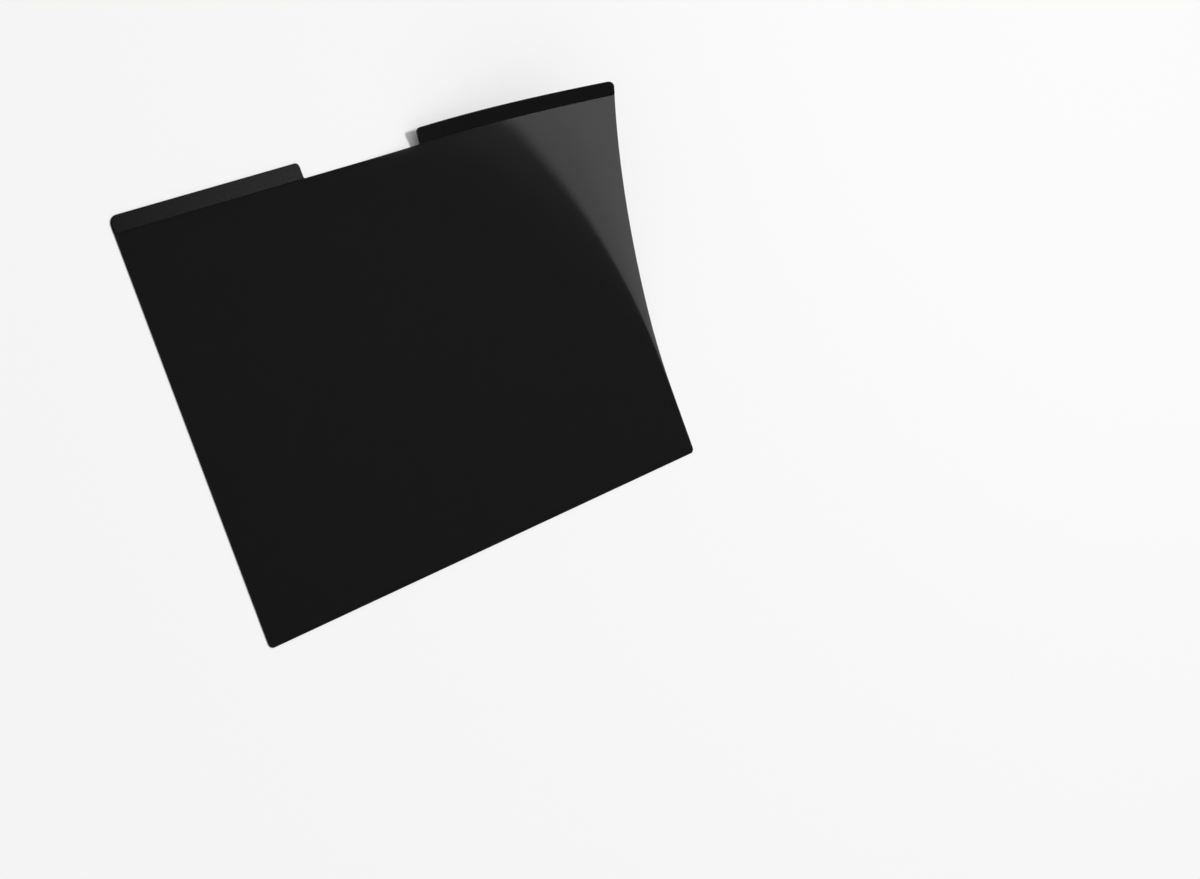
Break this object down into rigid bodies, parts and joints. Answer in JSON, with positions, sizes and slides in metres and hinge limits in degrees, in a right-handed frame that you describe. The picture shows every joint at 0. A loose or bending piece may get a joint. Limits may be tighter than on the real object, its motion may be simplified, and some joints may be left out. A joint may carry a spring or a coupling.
{
  "type": "laptop privacy filter",
  "caption": "Thin dark louvre film that lies over a laptop's screen and hides it from the side, cut with a camera notch between tabs that carry magnet strips.",
  "frame": {"origin": "middle of the film's back face in its flat cut, on the surface that the filter lies on", "axes": "+X across the filter to the right, seen from the front; +Y up the filter, towards the tabs; +Z out of its front"},
  "size_m": [0.33, 0.23, 0.0501],
  "materials": {
    "louvre_film": "matte anti-glare",
    "magnet_strip": "satin"
  },
  "bodies": {
    "root": {"privacy_film": "louvre_film", "left_magnet_strip": "magnet_strip", "right_magnet_strip": "magnet_strip"}
  },
  "joints": []
}
